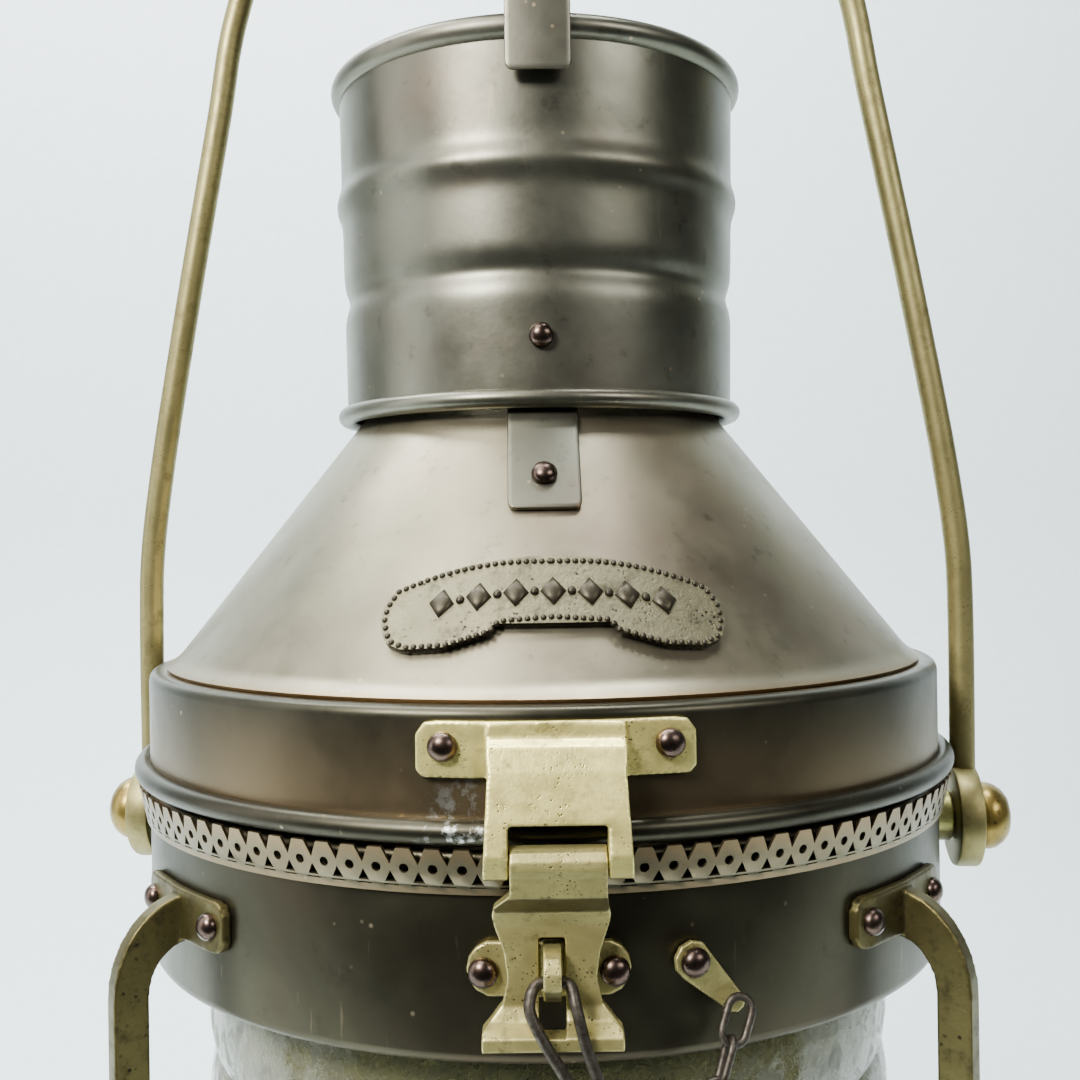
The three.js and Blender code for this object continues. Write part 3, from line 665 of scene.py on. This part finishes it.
def make_bail():
    """The rod, its two eyes, and the studs and knobs that they turn between."""
    leg = [(135, 244), (135.1, 296), (134.4, 317), (131, 344), (121, 401.5), (108.6, 467), (102.4, 500),
           (86, 543), (50, 589)]
    half = [Vector((x, 0, z - TRUNNION_Z)) for x, z in leg]
    crown = Vector((0, 0, BAIL_CROWN_Z - TRUNNION_Z))
    other = [Vector((-p.x, 0, p.z)) for p in reversed(half)]
    bm = bmesh.new()
    add_tube(bm, catmull_rom([*half, crown, *other], 12), ROD_R, 24)
    bm.transform(axle_matrix())
    dress(new_object("bail_rod", bm), BAIL_BRASS, "bail", "bail_brass", "bail")
    stud_r = 4
    hole = stud_r + GAP
    bevel = 0.3
    eye = [(hole, -EYE_HALF), (EYE_R - 1, -EYE_HALF), (EYE_R - bevel, bevel - EYE_HALF),
           (EYE_R, 1 - EYE_HALF), (EYE_R, EYE_HALF - 1), (EYE_R - bevel, EYE_HALF - bevel),
           (EYE_R - 1, EYE_HALF), (hole, EYE_HALF)]
    boss_r, boss_end = 8, DRUM_R + 5.7
    stud_end = BAIL_R + EYE_HALF + 5
    stud = [(0, DRUM_R + GAP), (boss_r - 0.6, DRUM_R + GAP), (boss_r, DRUM_R + 1), (boss_r, boss_end - 0.6),
            (boss_r - 0.6, boss_end), (stud_r, boss_end), (stud_r, stud_end), (0, stud_end)]
    dome = [(hole, 0), (10, 0), (10.5, 0.6), (10.5, 3.4), (10, 5.2), (8.6, 7.4), (6.4, 9.1), (3.4, 10),
            (0, 10.2), (0, 5.6), (hole, 5.6)]
    for side, tag in ((-1, "left"), (1, "right")):
        dress(side_lathe(f"bail_eye_{tag}", eye, side, BAIL_R, 64), BAIL_BRASS, "bail", "bail_brass")
        dress(side_lathe(f"trunnion_{tag}_turned", stud, side, 0), BRASS_PAINTED_HIGHLIGHT, "body", "cast_brass",
              f"trunnion_{tag}")
        dress(side_lathe(f"knob_{tag}_turned", dome, side, BAIL_R + EYE_HALF + GAP), KNOB_BRASS, "body",
              "bail_brass", f"trunnion_knob_{tag}")


# ---------- hood ----------

CONE_SLOPE = (CONE_HEAD[1] - CONE_FOOT[1]) / (CONE_FOOT[0] - CONE_HEAD[0])
CONE_LEAN = math.degrees(math.atan(1 / CONE_SLOPE))


def on_cone(z, off=0.0):
    """A point off the cone's outer face by a distance along its normal."""
    radius = CONE_FOOT[0] - (z - CONE_FOOT[1]) / CONE_SLOPE
    lean = math.radians(CONE_LEAN)
    return (radius + off * math.cos(lean), z + off * math.sin(lean))


def make_hood_shells():
    wall = DRUM_R - SHEET / 2
    ledge = SKIRT_TOP_Z - SHEET / 2
    skirt = rounded([(wall, BEAD_Z - 2), (wall, ledge), (119.2, ledge - 0.2)], 3.4, 6)
    bead = arc((BEAD_R, BEAD_Z), BEAD_ROLL, 0, 345, 23)
    dress(lathe("hood_skirt_skin", bent_sheet(skirt), bead), SKIRT_BRONZE_PAINTED_SHADE, "hood", "bronze", "hood_skirt")
    half = -SHEET / 2
    neck = FLUE_R + GAP + SHEET / 2
    cone = rounded([(119.4, 284.3), on_cone(287.5, half), on_cone(CONE_HEAD[1] - 2, half), (neck, 368),
                    (neck, 374)], 4, 5)
    dress(lathe("hood_cone_skin", bent_sheet(cone)), CONE_BRONZE_PAINTED_LIGHT, "hood", "bronze", "hood_cone")
    flue = [(FLUE_R - 1.2, 360), (FLUE_R, 360), (FLUE_R, 451.6), (FLUE_R - 0.4, 452), (FLUE_R - 1.2, 452)]
    dress(lathe("inner_flue_skin", flue), BRONZE, "hood", "bronze", "inner_flue")


def make_cowl():
    low, high = COWL_Z

    def radius(z):
        bulge = math.exp(-((z - SWAGE_OUT_Z) / SWAGE_WIDTH) ** 2)
        groove = math.exp(-((z - SWAGE_IN_Z) / SWAGE_WIDTH) ** 2)
        taper = (COWL_R[1] - COWL_R[0]) * (z - low) / (high - low)
        return COWL_R[0] + taper - SHEET / 2 + SWAGE_DEPTH * (bulge - groove)

    steps = 100
    wall = [(radius(z), z) for z in (low + (high - low) * i / steps for i in range(steps + 1))]
    rolls = [arc((63.1, low), 2.8, 0, 345, 23), arc((63.2, high), 3.8, 0, 345, 23)]
    dress(lathe("cowl_skin", bent_sheet(wall), *rolls), BRONZE, "hood", "bronze", "cowl")


def make_cap():
    rim, top = CAP_Z
    dome = rounded([(10, top - 0.3), (32, top - 2.8), (52, top - 8.5), (CAP_R, rim + 1.5)], 9)
    outline = [(0, top), *dome, (CAP_R, rim), (CAP_R - 1.5, rim), (52, top - 10.1), (30, top - 4),
               (0, top - 1.5)]
    dress(lathe("smoke_cap_skin", outline), BRONZE, "hood", "bronze", "smoke_cap")


def make_straps():
    off = GAP + 0.7
    strap_path = rounded([on_cone(330, off), on_cone(352, off), (59.4, 360.5), (59.4, 366), (60.5, 369),
                          (60.5, 387)], 2.5)
    leg_path = rounded([(68.6, 453), (68.6, 525), (66.4, 529.8), (56, 535.8)], 2)
    kinds = (("cowl_strap", STRAP_AZIMUTHS, strap_path, 20, 1.2),
             ("cap_leg", CAP_LEG_AZIMUTHS, leg_path, 18.5, 1.3))
    for name, azimuths, path, width, thickness in kinds:
        length = path_frame(path)[1]
        half = width / 2
        outline = rounded_loop([(-half, 0), (half, 0), (half, length), (-half, length)], 2.6)
        for i, azimuth in enumerate(azimuths, 1):
            plate = wrapped_plate(f"{name}_{i}_bent", outline, path, thickness, azimuth)
            dress(plate, BRONZE, "hood", "bronze", f"{name}_{i}")
    for i, azimuth in enumerate(STRAP_AZIMUTHS, 1):
        out, z = on_cone(339, 2 * GAP + 1.4)
        make_rivet(f"cone_rivet_{i}", "hood", out, z, azimuth, CONE_LEAN)
        make_rivet(f"cowl_rivet_{i}", "hood", COWL_R[0] + 0.6, COWL_RIVET_Z, azimuth)


def nameplate_side():
    """Half of the plate's outline, from the top's middle round to the bottom's, as (across, up)."""
    radius, crown = 95, 317
    top = [(radius * math.sin(a), crown - radius + radius * math.cos(a))
           for a in (math.radians(25 * i / 10) for i in range(11))]
    end = [(42.8, 304), (43.4, 300.5), (42, 296), (38, 294.4)]
    return top + end + [(28, 295), (17, 298.2), (15, 300.6), (0, 300.6)]


def make_nameplate():
    side = nameplate_side()
    front = side + [(-x, z) for x, z in reversed(side[1:-1])]
    path = [on_cone(z, GAP + 1.0) for z in NAMEPLATE_Z]
    lean = math.cos(math.radians(CONE_LEAN))

    def unrolled(x, z):
        """Where a point of the front view lies on the flat sheet."""
        radius = on_cone(z)[0]
        depth = math.asin(max(-1, min(1, x / radius)))
        return (depth * radius, (z - NAMEPLATE_Z[0]) / lean)

    outline = rounded_loop([unrolled(x, z) for x, z in front], 1.2, 3)
    plate = wrapped_plate("nameplate_cast", outline, path, 2.2, NAMEPLATE_AZIMUTH, cell=1.6, bevel=0.5)
    dress(plate, NAME_FIELD, "hood", "cast_brass", "nameplate")
    bm = bmesh.new()

    def add_boss(x, z, across, up, height, sides):
        """A low pointed or rounded boss on the plate's face."""
        radius, _ = on_cone(z)
        azimuth = math.degrees(math.asin(x / radius)) + NAMEPLATE_AZIMUTH
        out, top = on_cone(z, GAP + 1.9)
        place = rivet_place(out, top, azimuth, CONE_LEAN)
        loops = []
        for scale, rise in ((1.0, 0.0), (0.86, 0.55), (0.5, 0.9)):
            loop = []
            for a in (2 * math.pi * k / sides for k in range(sides)):
                point = (across * scale * math.cos(a) * MM, up * scale * math.sin(a) * MM, height * rise * MM)
                loop.append(bm.verts.new(place @ Vector(point)))
            loops.append(loop)
        for ring, following in zip(loops, loops[1:]):
            for k in range(sides):
                n = (k + 1) % sides
                bm.faces.new((ring[k], ring[n], following[n], following[k]))
        bm.faces.new(loops[-1])
        bm.faces.new(loops[0][::-1])

    def row_z(x):
        """The row droops towards its ends as the plate does."""
        return 308.2 - x ** 2 / 260

    # a row of lozenges with a pellet between each two
    pitch, each_side = 9.2, 3
    for k in range(-each_side, each_side + 1):
        x = pitch * k
        add_boss(x, row_z(x), 3.4, 4.6, 1.7, 4)
        if k < each_side:
            between = x + pitch / 2
            add_boss(between, row_z(between), 1.2, 1.4, 1.3, 12)
    # the beaded border, at an even spacing along the outline moved inward
    margin = 1.5
    centre = Vector((0, 306.5))
    inset = [Vector(p) + (centre - Vector(p)).normalized() * margin for p in front]
    spacing, carry = 1.95, 0.0
    for a, b in zip(inset, inset[1:] + inset[:1]):
        length = (b - a).length
        while carry < length:
            bead = a.lerp(b, carry / length)
            add_boss(bead.x, bead.y, 0.85, 0.95, 0.9, 8)
            carry += spacing
        carry -= length
    dress(new_object("nameplate_relief", bm, 50), NAME_RELIEF, "hood", "cast_brass")


# ---------- hasp, hinge and lock ----------

def make_hardware():
    castings = (
        ("hasp_leaf", "hood", 0.4, 5),
        ("hasp_flap", "hasp", 0.35, 5),
        ("staple", "body", 0.35, 4),
        ("chain_tab", "body", 0.25, 4),
        ("hood_hinge_leaf", "hood", 0.4, 4),
        ("drum_hinge_leaf", "body", 0.4, 4),
    )
    for node, body, voxel, rounds in castings:
        brass = BRASS_PAINTED_HIGHLIGHT if node == "hasp_leaf" else FLAP_BRASS
        dress(softened(f"{node}_casting", node, voxel, rounds), brass, body, "cast_brass", node)
    for node, body in (("hasp_pin", "hood"), ("hinge_pin", "body")):
        dress(softened(f"{node}_turned", node, 0.2, 3), BRASS_PAINTED_HIGHLIGHT, body, "cast_brass", node)
    plate_out = DRUM_R + PLATE + 2 * GAP
    for side, tag, staple_x in zip((-1, 1), ("left", "right"), STAPLE_X):
        hasp_turn = math.degrees(math.asin((HASP_X + side * HASP_RIVET_X) / DRUM_R))
        staple_turn = math.degrees(math.asin(staple_x / DRUM_R))
        make_rivet(f"hasp_rivet_{tag}", "hood", plate_out, HASP_RIVET_Z, hasp_turn)
        make_rivet(f"staple_rivet_{tag}", "body", plate_out, STAPLE_Z - 1.5, staple_turn)
    bm = bmesh.new()
    turn = Matrix.Rotation(math.radians(TAB_AZIMUTH), 4, "Z")
    foot = Matrix.Translation((TAB_RIVET[0] * MM, -(DRUM_R + 2.5) * MM, TAB_RIVET[1] * MM))
    add_rivet_head(bm, turn @ foot @ Matrix.Rotation(math.pi / 2, 4, "X"))
    dress(new_object("chain_tab_rivet_head", bm), RIVET, "body", "rivet", "chain_tab_rivet")


def make_lock_wire():
    route = [(10.2, -139.6, 181), (7.4, -139.6, 194), (3.6, -139.6, 204), (-0.4, -139.8, 211),
             (-4.1, -138.4, 219), (-2.5, -135.8, 223.2), (1.1, -135.4, 223.6), (4.9, -135.8, 223.2),
             (6.3, -138.4, 219), (8.3, -139.8, 211), (10.6, -139.6, 204), (13.2, -139.6, 196),
             (17, -139.6, 183), (16.4, -139.6, 178), (13.2, -139.6, 177)]
    bm = bmesh.new()
    add_tube(bm, catmull_rom(route, 8), 1.35, 14)
    dress(new_object("lock_wire_bent", bm), STEEL, "body", "steel", "lock_wire")


def make_chain():
    """Separate oval links along the chain's route, each turned a quarter from the last."""
    hang = [(44.2, -123, 209.6), (41, -126.6, 202), (37.4, -130, 192), (34, -133, 176), (30.4, -134.6, 158),
            (25.6, -135.6, 147), (20.4, -136.6, 150), (17.2, -137.8, 160), (15.4, -139, 171.6)]
    route = catmull_rom(hang, 30)
    pitch, wire, half_length, half_width = 8.8, 1.0, 5.5, 2.9
    lengths = [0.0]
    for a, b in zip(route, route[1:]):
        lengths.append(lengths[-1] + (b - a).length)
    bm = bmesh.new()
    count = int(lengths[-1] / pitch)
    for link in range(count + 1):
        distance = min(lengths[-1] - 0.01, link * lengths[-1] / count)
        i = next(k for k, length in enumerate(lengths[1:]) if length >= distance)
        centre = route[i].lerp(route[i + 1], (distance - lengths[i]) / (lengths[i + 1] - lengths[i]))
        along = (route[i + 1] - route[i]).normalized()
        side = along.cross(Vector((0, 1, 0))).normalized()
        if link % 2:
            side = along.cross(side).normalized()
        straight = half_length - half_width
        loop = arc((straight, 0), half_width, -90, 90, 9) + arc((-straight, 0), half_width, 90, 270, 9)
        add_tube(bm, [centre + along * x + side * y for x, y in loop], wire, 10, closed=True)
    dress(new_object("chain_links", bm), STEEL, "body", "steel", "chain")


# ---------- font and burner ----------

def make_burner():
    tank = [(0, 6), (FONT_R - 5, 6), (FONT_R - 2, 7), (FONT_R, 10), (FONT_R, 36), (68.6, 39.4), (64, 44),
            (20, 46.4), (17, 47.4), (17, 51), (0, 51)]
    dress(lathe("font_spun", tank, segments=96), KNOB_BRASS, "font", "cast_brass")
    neck = [(5.4, 43), (7, 43), (7, 52), (5.4, 52)]
    cap = [(0, 52.3), (9, 52.3), (9.6, 53), (9.6, 58), (8.6, 59.5), (0, 59.5)]
    for name, outline, node in (("font_filler_neck", neck, "font"), ("filler_cap_turned", cap, "filler_cap")):
        bm = bmesh.new()
        add_lathe(bm, outline, 32)
        bm.transform(Matrix.Translation((FILLER_X * MM, 0, 0)))
        dress(new_object(name, bm), KNOB_BRASS, node, "cast_brass", node)
    for node, body, voxel in (("burner_collar", "font", 0.5), ("burner_cone", "font", 0.4),
                              ("wick_knob", "wick_knob", 0.35)):
        dress(softened(f"{node}_brass", node, voxel, 4), KNOB_BRASS, body, "cast_brass", node)
    dress(softened("wick_woven", "wick", 0.4, 3), WICK, "wick", "wick", "wick")


# ---------- stage, light and camera ----------

def make_stage():
    """A pale floor that curves up into the wall behind."""
    width, front, back, height, bend = 3.0, -0.32, 0.9, 2.4, 0.35
    curve = [(back - bend + bend * math.sin(a), bend - bend * math.cos(a))
             for a in (math.radians(9 * i) for i in range(11))]
    section = [(front, 0), *curve, (back, height)]
    bm = bmesh.new()
    rows = [[bm.verts.new((x, y, z)) for x in (-width, width)] for y, z in section]
    for low, high in zip(rows, rows[1:]):
        bm.faces.new((low[0], low[1], high[1], high[0]))
    sweep = new_object("backdrop", bm)
    sweep.data.materials.append(plain("pale_wall", srgb(228, 238, 240), srgb(222, 233, 235), 8, 0.8))


def add_light(name, place, aim, size, power, tint=(1, 1, 1)):
    data = bpy.data.lights.new(name, "AREA")
    data.shape = "RECTANGLE"
    data.size, data.size_y = size
    data.energy = power
    data.color = tint
    light = bpy.data.objects.new(name, data)
    light.location = place
    light.rotation_euler = (Vector(aim) - Vector(place)).to_track_quat("-Z", "Y").to_euler()
    bpy.context.collection.objects.link(light)


def light_scene():
    aim = (0, 0, 0.33)
    add_light("key", (-0.6, -0.85, 0.98), aim, (0.32, 0.32), 28, (1, 0.99, 0.95))
    add_light("overhead", (-0.45, -0.4, 1.4), aim, (0.7, 0.6), 11, (1, 0.99, 0.95))
    add_light("left_window", (-1.0, -0.2, 0.6), aim, (0.5, 1.0), 5, (0.96, 0.99, 1))
    add_light("front_high", (1.05, -1.05, 1.1), (0, 0, 0.42), (0.7, 0.4), 10, (1, 1, 0.97))
    add_light("wall_wash", (-0.4, 0.25, 1.7), (-0.2, 0.9, 0.5), (1.8, 0.4), 74, (0.95, 0.99, 1))
    # the room beyond the floor is dark in reflections, and pale where it is seen directly
    world = bpy.data.worlds.new("room")
    world.use_nodes = True
    background = world.node_tree.nodes["Background"]
    background.inputs["Color"].default_value = (0.86, 0.93, 0.95, 1)
    seen = world.node_tree.nodes.new("ShaderNodeMapRange")
    seen.inputs["To Min"].default_value = 0.05
    seen.inputs["To Max"].default_value = 0.8
    path = world.node_tree.nodes.new("ShaderNodeLightPath")
    world.node_tree.links.new(path.outputs["Is Camera Ray"], seen.inputs["Value"])
    world.node_tree.links.new(seen.outputs["Result"], background.inputs["Strength"])
    bpy.context.scene.world = world


def add_camera():
    """The photograph's viewpoint: level with the cone, close in front."""
    data = bpy.data.cameras.new("camera")
    data.lens = 41.5
    data.sensor_width = 36
    data.shift_x = -0.001
    data.shift_y = -0.0093
    data.clip_start = 0.01
    camera = bpy.data.objects.new("camera", data)
    camera.location = (0, -0.4143, 0.325)
    camera.rotation_euler = (math.radians(90), math.radians(0.82), 0)
    bpy.context.collection.objects.link(camera)
    bpy.context.scene.camera = camera


add_camera()
make_base()
make_lens()
make_drum()
make_gallery()
make_guards()
make_bail()
make_hood_shells()
make_cowl()
make_cap()
make_straps()
make_nameplate()
make_hardware()
make_lock_wire()
make_chain()
make_burner()
make_stage()
light_scene()
